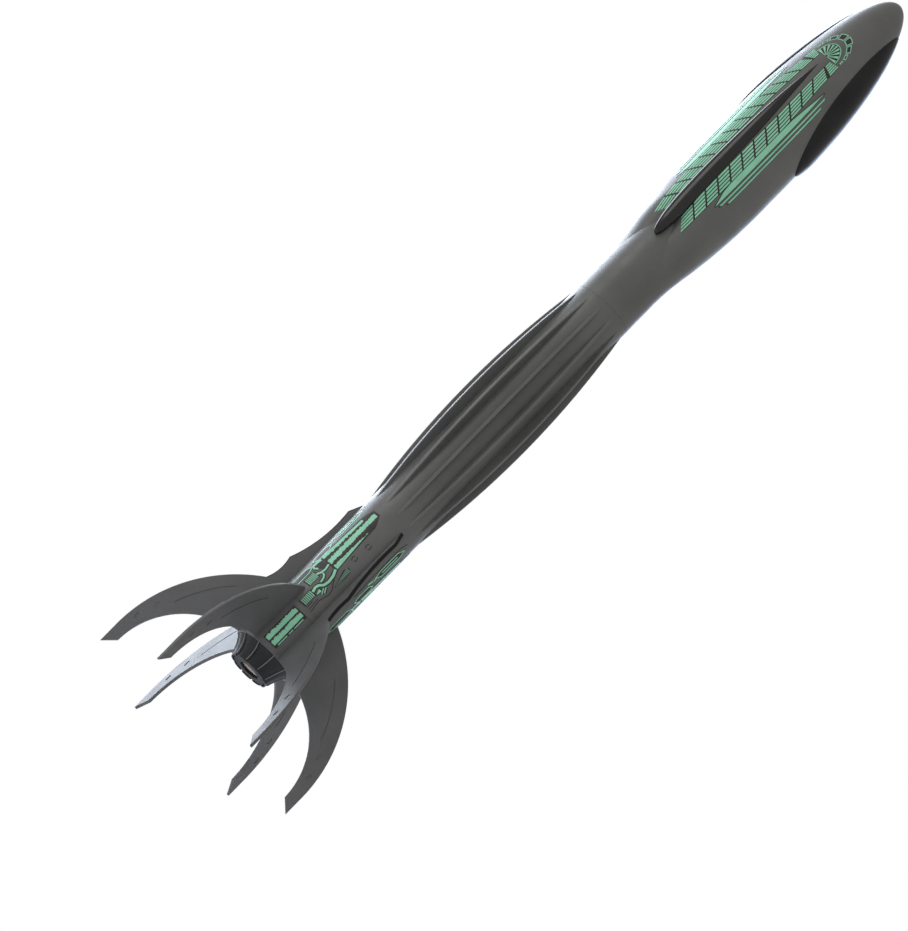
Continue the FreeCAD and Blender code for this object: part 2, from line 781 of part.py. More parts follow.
def make_recovery():
    """The folded parachute, the wadding below it, and the paper mount of the shock cord."""
    pack = cylinder("parachute_solid", "parachute_radius", "parachute_bottom", "parachute_length")
    keep(pack, "parachute_pack")
    wad = cylinder("wadding_solid", "wadding_radius", "wadding_bottom", "wadding_length")
    keep(wad, "recovery_wadding")
    ring = tube("anchor", "tube_inner_radius", "anchor_inner_radius", "anchor_bottom", "anchor_length")
    window = doc.addObject("Part::Box", "anchor_window")
    bind(window, "Length", "tube_outer_radius")
    bind(window, "Width", "anchor_width")
    bind(window, "Height", "anchor_length")
    window.Placement.Base = Vector(0, -value("anchor_width") / 2, 0)
    bind(window, "Placement.Base.z", "anchor_bottom")
    mount = doc.addObject("Part::Common", "anchor_patch")
    mount.Base, mount.Tool = ring, window
    keep(mount, "shock_cord_mount")


def make_lugs():
    """Two launch lugs that stand off the tube, so that the launch rod clears the nose."""
    heading = math.radians(value("lug_heading"))
    away = Vector(math.sin(heading), -math.cos(heading), 0)
    spot = away * value("lug_axis_radius")
    for place, bottom in (("rear", "rear_lug_bottom"), ("front", "front_lug_bottom")):
        lug = tube("lug_" + place, "lug_outer_radius", "lug_inner_radius", bottom, "lug_length")
        for wall in (lug.Base, lug.Tool):
            wall.Placement.Base = Vector(spot.x, spot.y, value(bottom))
        keep(lug, "launch_lug_" + place)
        block = doc.addObject("Part::Box", "standoff_block_" + place)
        bind(block, "Length", "lug_axis_radius")
        bind(block, "Width", "standoff_thickness")
        bind(block, "Height", "standoff_length")
        side = Rotation(UP, value("lug_heading") - 90)
        middle = value(bottom) + (value("lug_length") - value("standoff_length")) / 2
        corner = side.multVec(Vector(0, -value("standoff_thickness") / 2, 0))
        block.Placement = Placement(Vector(corner.x, corner.y, middle), side)
        outer_end = doc.addObject("Part::Cut", "standoff_outer_" + place)
        outer_end.Base = block
        outer_end.Tool = cylinder("standoff_seat_" + place, "lug_outer_radius", bottom, "lug_length")
        outer_end.Tool.Placement.Base = Vector(spot.x, spot.y, value(bottom))
        inner_end = doc.addObject("Part::Cut", "standoff_inner_" + place)
        inner_end.Base = outer_end
        inner_end.Tool = cylinder("standoff_foot_" + place, "tube_outer_radius", bottom, "lug_length")
        keep(inner_end, "lug_standoff_" + place)


def check_and_export():
    """Stop at anything that failed, then write each piece to a file of its own."""
    doc.recompute()
    failed = [thing.Name for thing in doc.Objects if "Invalid" in thing.State or "Error" in thing.State]
    if failed:
        raise RuntimeError("failed objects: " + ", ".join(failed))
    os.makedirs(PARTS_FOLDER, exist_ok=True)
    for piece in pieces:
        shape = piece.Shape
        if shape.isNull() or not shape.isValid() or not shape.Solids:
            raise RuntimeError(piece.Label + " has no valid solid")
        shape.exportStep(f"{PARTS_FOLDER}/{piece.Label}.step")
        box = shape.optimalBoundingBox()
        print(f"{piece.Label:22s} solids {len(shape.Solids)}  volume {shape.Volume:10.1f}  "
              f"z {box.ZMin:7.2f} to {box.ZMax:7.2f}")


nose_form = make_nose()
make_shoulder()
make_spine(nose_form)
make_eye_panels(nose_form)
make_body_tube()
make_fins()
make_strakes()
make_nozzle()
make_motor_mount()
make_motor()
make_recovery()
make_lugs()
check_and_export()
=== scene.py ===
"""Looks of the model rocket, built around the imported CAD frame.

Lengths below are millimetres unless a name says otherwise, and MM turns them into Blender's metres.
An angle round the rocket is counted in degrees from -Y towards +X.
"""

import json
import math
import random

import bmesh
import bpy
from mathutils import Matrix, Vector, noise

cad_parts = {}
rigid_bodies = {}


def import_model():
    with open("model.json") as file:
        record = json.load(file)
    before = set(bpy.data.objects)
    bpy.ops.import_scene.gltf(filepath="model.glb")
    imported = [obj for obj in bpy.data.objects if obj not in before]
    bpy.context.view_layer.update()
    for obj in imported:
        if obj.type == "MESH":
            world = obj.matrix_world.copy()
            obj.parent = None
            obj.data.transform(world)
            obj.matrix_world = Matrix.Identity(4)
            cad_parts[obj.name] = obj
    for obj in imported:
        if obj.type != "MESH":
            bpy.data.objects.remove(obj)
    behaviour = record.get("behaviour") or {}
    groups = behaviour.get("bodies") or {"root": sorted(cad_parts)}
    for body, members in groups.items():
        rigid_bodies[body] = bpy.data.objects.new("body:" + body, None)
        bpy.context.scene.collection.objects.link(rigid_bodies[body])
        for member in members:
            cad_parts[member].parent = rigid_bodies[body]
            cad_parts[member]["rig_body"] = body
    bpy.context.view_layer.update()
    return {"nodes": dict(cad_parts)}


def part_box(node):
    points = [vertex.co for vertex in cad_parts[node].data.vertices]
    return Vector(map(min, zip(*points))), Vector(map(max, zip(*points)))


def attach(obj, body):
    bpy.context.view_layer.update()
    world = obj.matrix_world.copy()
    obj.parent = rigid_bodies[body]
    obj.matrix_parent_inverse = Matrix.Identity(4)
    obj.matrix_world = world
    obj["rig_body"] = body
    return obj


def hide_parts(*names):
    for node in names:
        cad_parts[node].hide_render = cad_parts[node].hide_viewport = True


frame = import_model()
MM = 0.001

# ---------------------------------------------------------------- the rocket's sizes, as in the CAD model


def low_and_high(node):
    """A CAD node's lowest and highest height, in millimetres."""
    low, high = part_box(node)
    return low.z / MM, high.z / MM


def reach(node):
    """How far a CAD node that goes round the rocket's axis reaches from it, in millimetres."""
    return max(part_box(node)[1].xy) / MM


TUBE_R = reach("body_tube")
SLEEVE_R = 21.4
SLEEVE_BOTTOM = low_and_high("tail_sleeve")[0]
NOSE_SEAT, NOSE_TIP = low_and_high("nose_shell")
NOSE_R, NOSE_FRONT, NOSE_WALL = 28.3, 123.1, 1.4
FLARE_BOTTOM, FLARE_BEND, FLARE_BEND_R = 389.5, 430.0, 23.8
FLARE_TOP = 490.75
WAIST = NOSE_TIP - NOSE_FRONT
NOSE_HEADING = 9.0
SPINE_BOTTOM, SPINE_TOP = low_and_high("nose_spine")
EYE_HEADING = 103.0
NOZZLE_EXIT, SPIGOT_TOP = low_and_high("tail_nozzle")
NOZZLE_TOP = SLEEVE_BOTTOM
NOZZLE_EXIT_R, NOZZLE_TOP_R, NOZZLE_ARC, NOZZLE_WALL = 14.6, 20.6, 32.0, 1.1
PETALS, PETAL_HEADING = 10, 30.0
CREASE_MIDDLE, CREASE_SWING, CREASE_TURN, CREASE_RUN = 426.4, 44.5, 60, 30.0

# ---------------------------------------------------------------- the main view

VIEW_HEADING, VIEW_RISE, AXIS_ANGLE = 34.65, -14.1, 45.6
VIEW_HEIGHT, VIEW_RIGHT, VIEW_DOWN = 325.0, 58.67, 62.9
FRAME_SPAN = 579.83
LENS, SENSOR = 1000.0, 36.0


def heading_vector(angle):
    """The level unit vector at an angle round the rocket."""
    a = math.radians(angle)
    return Vector((math.sin(a), -math.cos(a), 0))


def polar(angle, radius, height):
    """A point by angle, radius and height, in metres."""
    return (heading_vector(angle) * radius + Vector((0, 0, height))) * MM


# ---------------------------------------------------------------- camera, light and stage

def make_camera():
    """A long-lens camera below the rocket's tail, rolled so that the nose points up and right."""
    rise = math.radians(VIEW_RISE)
    toward = heading_vector(VIEW_HEADING) * math.cos(rise) + Vector((0, 0, math.sin(rise)))
    along = (Vector((0, 0, 1)) - toward * toward.z).normalized()
    across = along.cross(toward)
    roll = math.radians(AXIS_ANGLE)
    right = along * math.cos(roll) + across * math.sin(roll)
    up = along * math.sin(roll) - across * math.cos(roll)
    target = (Vector((0, 0, VIEW_HEIGHT)) - right * VIEW_RIGHT - up * VIEW_DOWN) * MM
    data = bpy.data.cameras.new("camera")
    data.lens, data.sensor_width, data.clip_end = LENS, SENSOR, 200
    camera = bpy.data.objects.new("camera", data)
    turn = Matrix((right, up, toward)).transposed().to_4x4()
    distance = FRAME_SPAN * MM * LENS / SENSOR
    camera.matrix_world = Matrix.Translation(target + toward * distance) @ turn
    bpy.context.scene.collection.objects.link(camera)
    bpy.context.scene.camera = camera


def area_light(name, angle, rise, distance, size, power, colour, height=0.33):
    """A soft panel of light, in metres and watts, that faces the rocket from an angle off the view."""
    data = bpy.data.lights.new(name, "AREA")
    data.shape, data.size, data.size_y = "RECTANGLE", size[0], size[1]
    data.energy, data.color = power, colour
    lamp = bpy.data.objects.new(name, data)
    lift = math.radians(rise)
    away = heading_vector(VIEW_HEADING + angle) * math.cos(lift) + Vector((0, 0, math.sin(lift)))
    lamp.location = Vector((0, 0, height)) + away * distance
    lamp.rotation_euler = away.to_track_quat("Z", "Y").to_euler()
    lamp.visible_camera = False
    bpy.context.scene.collection.objects.link(lamp)


def make_light():
    """A white rim from behind on the left, a blue one on the right, a weak fill and a pale surround."""
    area_light("rim_left", -145, 10, 1.5, (1.9, 1.3), 55, (0.78, 0.87, 1.0), height=0.49)
    area_light("rim_right", 160, 5, 1.8, (0.8, 1.3), 9, (0.45, 0.62, 1.0), height=0.6)
    area_light("fill_left", -62, 4, 2.2, (0.9, 1.2), 9, (1.0, 0.98, 0.95), height=0.6)
    world = bpy.data.worlds.new("surround")
    bpy.context.scene.world = world
    world.use_nodes = True
    nodes, links = world.node_tree.nodes, world.node_tree.links
    nodes.clear()
    out = nodes.new("ShaderNodeOutputWorld")
    seen = nodes.new("ShaderNodeBackground")
    seen.inputs["Color"].default_value = (1, 1, 1, 1)
    seen.inputs["Strength"].default_value = 1.0
    cast = nodes.new("ShaderNodeBackground")
    cast.inputs["Color"].default_value = (1.0, 0.99, 0.97, 1)
    cast.inputs["Strength"].default_value = 0.6
    mix = nodes.new("ShaderNodeMixShader")
    path = nodes.new("ShaderNodeLightPath")
    links.new(path.outputs["Is Camera Ray"], mix.inputs["Fac"])
    links.new(cast.outputs[0], mix.inputs[1])
    links.new(seen.outputs[0], mix.inputs[2])
    links.new(mix.outputs[0], out.inputs["Surface"])
    bpy.context.scene.view_settings.view_transform = "Standard"


def make_floor():
    """A plain pale floor under the fin tips, which shows from above only and fades out, all in metres."""
    size, drop, fade_from, fade_to = 2.0, 0.0004, 0.25, 1.1
    corners = [(-size, -size, 0), (size, -size, 0), (size, size, 0), (-size, size, 0)]
    mesh = bpy.data.meshes.new("floor")
    mesh.from_pydata(corners, [], [(0, 1, 2, 3)])
    floor = bpy.data.objects.new("floor", mesh)
    floor.location.z = -drop
    bpy.context.scene.collection.objects.link(floor)
    material = bpy.data.materials.new("floor")
    material.use_nodes = True
    nodes, links = material.node_tree.nodes, material.node_tree.links
    shader = nodes["Principled BSDF"]
    shader.inputs["Base Color"].default_value = (0.86, 0.86, 0.86, 1)
    shader.inputs["Roughness"].default_value = 0.8
    clear = nodes.new("ShaderNodeBsdfTransparent")
    side = nodes.new("ShaderNodeNewGeometry")
    mix = nodes.new("ShaderNodeMixShader")
    place = nodes.new("ShaderNodeTexCoord")
    apart = nodes.new("ShaderNodeVectorMath")
    apart.operation = "LENGTH"
    fade = nodes.new("ShaderNodeMapRange")
    fade.inputs["From Min"].default_value = fade_from
    fade.inputs["From Max"].default_value = fade_to
    either = nodes.new("ShaderNodeMath")
    either.operation = "MAXIMUM"
    links.new(place.outputs["Object"], apart.inputs[0])
    links.new(apart.outputs["Value"], fade.inputs["Value"])
    links.new(fade.outputs["Result"], either.inputs[0])
    links.new(side.outputs["Backfacing"], either.inputs[1])
    links.new(either.outputs[0], mix.inputs["Fac"])
    links.new(shader.outputs[0], mix.inputs[1])
    links.new(clear.outputs[0], mix.inputs[2])
    links.new(mix.outputs[0], nodes["Material Output"].inputs["Surface"])
    mesh.materials.append(material)


# ---------------------------------------------------------------- materials

# Most of a noise texture's values lie between these two.
NOISE_LOW, NOISE_HIGH = 0.3, 0.7


def surface(name, colour, rough=0.45, grain=900.0, depth=0.004, shade=0.12, wear=0.0, scale=34.0,
            stretch=None, **sockets):
    """A procedural surface: slow changes of shade, worn specks, uneven gloss and a fine grain.

    scale and grain are in waves per metre, depth is the grain's height in millimetres, stretch scales
    the texture along x, y and z, and sockets sets the shader's own values by name, with underscores
    for spaces.
    """
    material = bpy.data.materials.new(name)
    material.use_nodes = True
    nodes, links = material.node_tree.nodes, material.node_tree.links
    shader = nodes["Principled BSDF"]
    for socket, number in sockets.items():
        shader.inputs[socket.replace("_", " ")].default_value = number
    place = nodes.new("ShaderNodeTexCoord").outputs["Object"]
    if stretch:
        mapping = nodes.new("ShaderNodeMapping")
        mapping.inputs["Scale"].default_value = stretch
        links.new(place, mapping.inputs["Vector"])
        place = mapping.outputs["Vector"]

    def speckle(waves, detail):
        texture = nodes.new("ShaderNodeTexNoise")
        texture.inputs["Scale"].default_value = waves
        texture.inputs["Detail"].default_value = detail
        links.new(place, texture.inputs["Vector"])
        return texture.outputs["Fac"]

    def spread(source, low, high):
        node = nodes.new("ShaderNodeMapRange")
        node.inputs["From Min"].default_value = NOISE_LOW
        node.inputs["From Max"].default_value = NOISE_HIGH
        node.inputs["To Min"].default_value = low
        node.inputs["To Max"].default_value = high
        links.new(source, node.inputs["Value"])
        return node.outputs["Result"]

    def blend(share, first, second):
        node = nodes.new("ShaderNodeMix")
        node.data_type = "RGBA"
        links.new(share, node.inputs["Factor"])
        for socket, source in (("A", first), ("B", second)):
            if isinstance(source, tuple):
                node.inputs[socket].default_value = (*source, 1)
            else:
                links.new(source, node.inputs[socket])
        return node.outputs["Result"]

    paler, pale_least, wear_waves, wear_rareness = 1.8, 0.03, 8, -2.0
    gloss_waves, gloss_change = 3.5, 0.05
    dark = tuple(c * (1 - shade) for c in colour)
    light = tuple(min(1.0, c * (1 + shade)) for c in colour)
    base = blend(spread(speckle(scale, 5.0), 0.0, 1.0), dark, light)
    if wear:
        rubbed = tuple(min(1.0, c * paler + pale_least) for c in colour)
        base = blend(spread(speckle(scale * wear_waves, 8.0), wear_rareness, wear), base, rubbed)
    links.new(base, shader.inputs["Base Color"])
    gloss = spread(speckle(scale * gloss_waves, 4.0), rough - gloss_change, rough + gloss_change)
    links.new(gloss, shader.inputs["Roughness"])
    bump = nodes.new("ShaderNodeBump")
    bump.inputs["Strength"].default_value = 1.0
    bump.inputs["Distance"].default_value = depth * MM
    links.new(speckle(grain, 3.0), bump.inputs["Height"])
    links.new(bump.outputs["Normal"], shader.inputs["Normal"])
    return material


HULL = surface("hull_paint", (0.103, 0.103, 0.1), rough=0.42, depth=0.0005)
FIN = surface("fin_paint", (0.115, 0.114, 0.115), rough=0.38, grain=1300, depth=0.0004,
              Specular_IOR_Level=0.3)
STRAKE = surface("strake_paint", (0.115, 0.114, 0.111), rough=0.42, grain=1300, depth=0.001)
NOZZLE = surface("nozzle_plastic", (0.02, 0.02, 0.02), rough=0.5, depth=0.002, Specular_IOR_Level=0.2)
GLOSS = surface("gloss_black", (0.012, 0.012, 0.012), rough=0.17, grain=300, depth=0.0002, shade=0.2,
                Specular_IOR_Level=0.4)
VISOR = surface("visor_black", (0.022, 0.022, 0.023), rough=0.3, grain=300, depth=0.0002, shade=0.2,
                Specular_IOR_Level=0.08)
# Flat black for the painted shadow laid along the saw fins' stepped edges.
SHADOW = surface("painted_shadow_black", (0.007, 0.007, 0.008), rough=0.6, shade=0.2, Specular_IOR_Level=0.2)
MINT = surface("print_mint", (0.25, 0.6, 0.4), rough=0.42, shade=0.1, wear=0.15, scale=90.0)
FADED = surface("print_faded_mint", (0.12, 0.26, 0.18), rough=0.42, shade=0.15, wear=0.15, scale=90.0)
UMBER = surface("print_umber", (0.02, 0.013, 0.013), rough=0.5, shade=0.2, scale=90.0)
PLASTIC = surface("moulded_plastic", (0.16, 0.16, 0.16), rough=0.5, grain=1500, depth=0.008)
CLAY = surface("modelling_clay", (0.35, 0.3, 0.24), rough=0.8, grain=500, depth=0.15, shade=0.2)
WIRE = surface("plated_wire", (0.62, 0.62, 0.6), rough=0.3, grain=2000, depth=0.002, Metallic=1.0)
KRAFT = surface("mount_paper", (0.46, 0.36, 0.24), rough=0.75, grain=900, depth=0.02, stretch=(1, 1, 0.35))
NYLON = surface("retainer_plastic", (0.02, 0.02, 0.021), rough=0.6, grain=1600, depth=0.006,
                Specular_IOR_Level=0.15)
CASING = surface("motor_paper", (0.55, 0.43, 0.29), rough=0.7, grain=900, depth=0.015, stretch=(1, 1, 0.35))
PRESSED = surface("motor_clay", (0.42, 0.38, 0.33), rough=0.85, grain=1200, depth=0.05, shade=0.15)
GRAIN = surface("propellant", (0.06, 0.055, 0.05), rough=0.8, grain=1500, depth=0.06, shade=0.25)
CANOPY = surface("canopy_film", (0.5, 0.09, 0.045), rough=0.32, grain=260, depth=0.05, shade=0.18,
                 scale=60.0)
TISSUE = surface("wadding_tissue", (0.5, 0.55, 0.53), rough=0.9, grain=1100, depth=0.05, shade=0.1,
                 scale=120.0)


def dress(material, *names):
    """Give CAD nodes a material."""
    for name in names:
        mesh = frame["nodes"][name].data
        mesh.materials.clear()
        mesh.materials.append(material)


def dress_all():
    """Every CAD node's finish, shown or hidden."""
    dress(HULL, "nose_shell", "body_tube", "tail_sleeve")
    dress(FIN, *(f"fin_{n}" for n in range(1, 7)))
    dress(STRAKE, *(f"strake_{n:02d}" for n in range(1, 13)))
    dress(NOZZLE, "tail_nozzle")
    dress(GLOSS, "nose_spine", "eye_panel_right", "eye_panel_left")
    dress(PLASTIC, "nose_shoulder")
    dress(CLAY, "nose_weight")
    dress(WIRE, "screw_eye")
    dress(KRAFT, "motor_tube", "centering_ring_rear", "centering_ring_front", "thrust_ring",
          "shock_cord_mount")
    dress(NYLON, "retainer_collar", "retainer_cap")
    dress(CASING, "motor_casing")
    dress(PRESSED, "motor_nozzle", "clay_cap")
    dress(GRAIN, "propellant_grain", "delay_grain", "ejection_charge")
    dress(CANOPY, "parachute_pack")
    dress(TISSUE, "recovery_wadding")
    dress(HULL, "launch_lug_rear", "launch_lug_front", "lug_standoff_rear", "lug_standoff_front")


# ---------------------------------------------------------------- pieces

def piece(name, points, faces, material, body, stands_for=(), smooth=True, sharp=35):
    """A closed mesh piece from points in metres, with its faces turned outwards, riding on a body."""
    mesh = bpy.data.meshes.new(name)
    mesh.from_pydata([tuple(p) for p in points], [], faces)
    tool = bmesh.new()
    tool.from_mesh(mesh)
    bmesh.ops.recalc_face_normals(tool, faces=tool.faces)
    for face in tool.faces:
        face.smooth = smooth
    tool.to_mesh(mesh)
    tool.free()
    if smooth:
        mesh.set_sharp_from_angle(angle=math.radians(sharp))
    mesh.materials.append(material)
    made = bpy.data.objects.new(name, mesh)
    bpy.context.scene.collection.objects.link(made)
    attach(made, body)
    if stands_for:
        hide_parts(*stands_for)
    return made


def ring_grid(rows, loop):
    """The points of rows that each go once round, and the faces between them.

    loop closes the last row to the first.
    """
    count = len(rows[0])
    faces = []
    for i in range(len(rows) if loop else len(rows) - 1):
        below, above = i * count, (i + 1) % len(rows) * count
        for j in range(count):
            after = (j + 1) % count
            faces.append((below + j, below + after, above + after, above + j))
    return [point for row in rows for point in row], faces


# ---------------------------------------------------------------- the nose's form

def arc_rise(rise, run, along):
    """How far an arc that starts level and climbs by rise over run has climbed after along."""
    radius = (rise ** 2 + run ** 2) / (2 * rise)
    return radius - math.sqrt(radius ** 2 - along ** 2)


def pod_radius(height):
    """The nose pod's radius at one height, without its creases."""
    if height > WAIST:
        return NOSE_R * math.sqrt(max(0.0, 1 - ((height - WAIST) / NOSE_FRONT) ** 2))
    if height > FLARE_TOP:
        return NOSE_R
    if height > FLARE_BEND:
        return NOSE_R - arc_rise(NOSE_R - FLARE_BEND_R, FLARE_TOP - FLARE_BEND, FLARE_TOP - height)
    along = max(0.0, height - FLARE_BOTTOM)
    return TUBE_R + arc_rise(FLARE_BEND_R - TUBE_R, FLARE_BEND - FLARE_BOTTOM, along)


def crease_height(angle):
    """Where the neck meets the pod at an angle from the nose's own front: highest in front and behind."""
    side = abs((angle + 180) % 360 - 180)
    side = min(side, 180 - side)
    return CREASE_MIDDLE + CREASE_SWING * math.cos(math.radians(side + CREASE_TURN))


def nose_radius(angle, height):
    """The nose's radius at an angle from its own front: a tube below its crease, the pod above."""
    crease = crease_height(angle)
    if height <= crease:
        return TUBE_R
    share = min(1.0, (height - crease) / CREASE_RUN)
    return TUBE_R + (pod_radius(height) - TUBE_R) * (1 - (1 - share) ** 2)


def nose_point(angle, lift, height):
    """A point over the nose's surface."""
    return polar(angle + NOSE_HEADING, nose_radius(angle, height) + lift, height)


def tube_point(angle, lift, height):
    """A point over the body tube's surface."""
    return polar(angle, TUBE_R + lift, height)


def sleeve_point(angle, lift, height):
    """A point over the tail sleeve's surface."""
    return polar(angle, SLEEVE_R + lift, height)


def make_nose():
    """The nose shell: a smooth pod whose flare is cut by two curved creases, open at its neck."""
    around = 288
    angles = [360 * j / around for j in range(around)]

    def row(height_at, inset):
        return [nose_point(a, -inset, height_at(a)) for a in angles]

    def between(start, end, share):
        return lambda a: start(a) + (end(a) - start(a)) * share

    def front(inset, turn):
        return row(lambda a: WAIST + (NOSE_FRONT - inset) * math.sin(turn), inset)

    def seat(a):
        return NOSE_SEAT

    def waist(a):
        return WAIST

    neck, pod, quarter = 20, 70, 60
    rows = [row(between(seat, crease_height, (i / neck) ** 0.5), 0) for i in range(neck)]
    rows += [row(between(crease_height, waist, (i / pod) ** 1.5), 0) for i in range(pod)]
    rows += [front(0, math.pi / 2 * i / quarter) for i in range(quarter)]
    rows.reverse()
    neck, pod, quarter, blunt = 8, 20, 20, 2
    rows += [row(between(seat, crease_height, i / neck), NOSE_WALL) for i in range(neck)]
    rows += [row(between(crease_height, waist, i / pod), NOSE_WALL) for i in range(pod)]
    rows += [front(NOSE_WALL, math.pi / 2 * i / quarter) for i in range(quarter - blunt)]
    points, faces = ring_grid(rows, loop=False)
    last = len(points) - around
    for first, height, flip in ((0, NOSE_TIP, False), (last, NOSE_TIP - NOSE_WALL * 3, True)):
        pole = len(points)
        points.append(Vector((0, 0, height * MM)))
        for j in range(around):
            after = first + (j + 1) % around
            faces.append((pole, first + j, after) if flip else (pole, after, first + j))
    piece("nose_skin", points, faces, HULL, "nose_section", ["nose_shell"], sharp=12)


def blister(name, node, heights, half_angle, crown, centre, material):
    """A closed raised skin over a long stretch of the nose, in a CAD node's place.

    half_angle gives its half width at a height, and crown its rise at a share across and a height.
    """
    cross_steps, skirt = 24, 0.5
    across = [math.cos(math.pi * j / cross_steps) for j in range(cross_steps + 1)]
    tops, unders = [], []
    for height in heights:
        places = [(share, centre + share * half_angle(height)) for share in across]
        tops.append([polar(angle, pod_radius(height) + crown(share, height), height)
                     for share, angle in places])
        unders.append([nose_point(angle - NOSE_HEADING, -skirt, height) for _, angle in places])
    points = [point for row in tops + unders for point in row]
    width = cross_steps + 1
    under = len(tops) * width
    faces = []
    for i in range(len(tops) - 1):
        for j in range(cross_steps):
            a = i * width + j
            faces.append((a, a + 1, a + width + 1, a + width))
            faces.append((under + a, under + a + width, under + a + width + 1, under + a + 1))
        for j in (0, cross_steps):
            a = i * width + j
            faces.append((a, a + width, under + a + width, under + a))
    for i in (0, len(tops) - 1):
        for j in range(cross_steps):
            a = i * width + j
            faces.append((a, a + 1, under + a + 1, under + a))
    piece(name, points, faces, material, "nose_section", [node])


def make_spine():
    """The glossy blister on the nose: a round foot that stands proud of the neck, drawn out to a point."""
    half_width, rise, rows, end_gap = 5.7, 2.8, 90, 0.0015
    widest, foot_round, tip_round = 0.26, 2.6, 2.3
    full_rise, flat_top, soft_edge = 1.25, 2.4, 0.6
    tip = SPINE_TOP + 3.5

    def size(height):
        share = (height - SPINE_BOTTOM) / (tip - SPINE_BOTTOM)
        if share < widest:
            return (1 - (1 - share / widest) ** foot_round) ** 0.5
        return 1 - ((share - widest) / (1 - widest)) ** tip_round

    def half_angle(height):
        return math.degrees(half_width * size(height) / pod_radius(height))

    def crown(share, height):
        return rise * min(1.0, size(height) * full_rise) * (1 - abs(share) ** flat_top) ** soft_edge

    shares = [end_gap + (1 - 2 * end_gap) * (i / rows) ** 1.4 for i in range(rows + 1)]
    heights = [SPINE_BOTTOM + (tip - SPINE_BOTTOM) * share for share in shares]
    blister("nose_spine_skin", "nose_spine", heights, half_angle, crown, NOSE_HEADING, GLOSS)


def make_eyes():
    """The two dark visors: wide, rounder above than below, and proudest near their lower lip."""
    widest, fullness, half, rows, end_gap = 0.6, 2.4, 51.4, 70, 0.001
    rise, rim, lip, crown_round = 2.5, 0.25, 0.1, 2.2
    for side, heading in (("right", EYE_HEADING), ("left", -EYE_HEADING)):
        node = f"eye_panel_{side}"
        bottom, top = low_and_high(node)
        middle = bottom + widest * (top - bottom)

        def half_angle(height):
            if height < middle:
                return half * math.sqrt(1 - ((middle - height) / (middle - bottom)) ** 2)
            return half * (1 - ((height - middle) / (top - middle)) ** fullness) ** (1 / fullness)

        def crown(share, height):
            along = (height - bottom) / (top - bottom)
            lengthwise = min(1.0, along / lip) ** 0.5 * (1 - along ** 2.5) ** 0.7
            return rim + (rise - rim) * lengthwise * (1 - abs(share) ** crown_round) ** 0.5

        turns = [math.pi * i / rows for i in range(rows + 1)]
        shares = [end_gap + (1 - 2 * end_gap) * (1 - math.cos(turn)) / 2 for turn in turns]
        heights = [bottom + (top - bottom) * share for share in shares]
        blister(f"eye_skin_{side}", node, heights, half_angle, crown, NOSE_HEADING + heading, VISOR)


# ---------------------------------------------------------------- prints

UMBER_LIFT, FADED_LIFT, MINT_LIFT, DIVIDER_LIFT = 0.07, 0.12, 0.14, 0.18


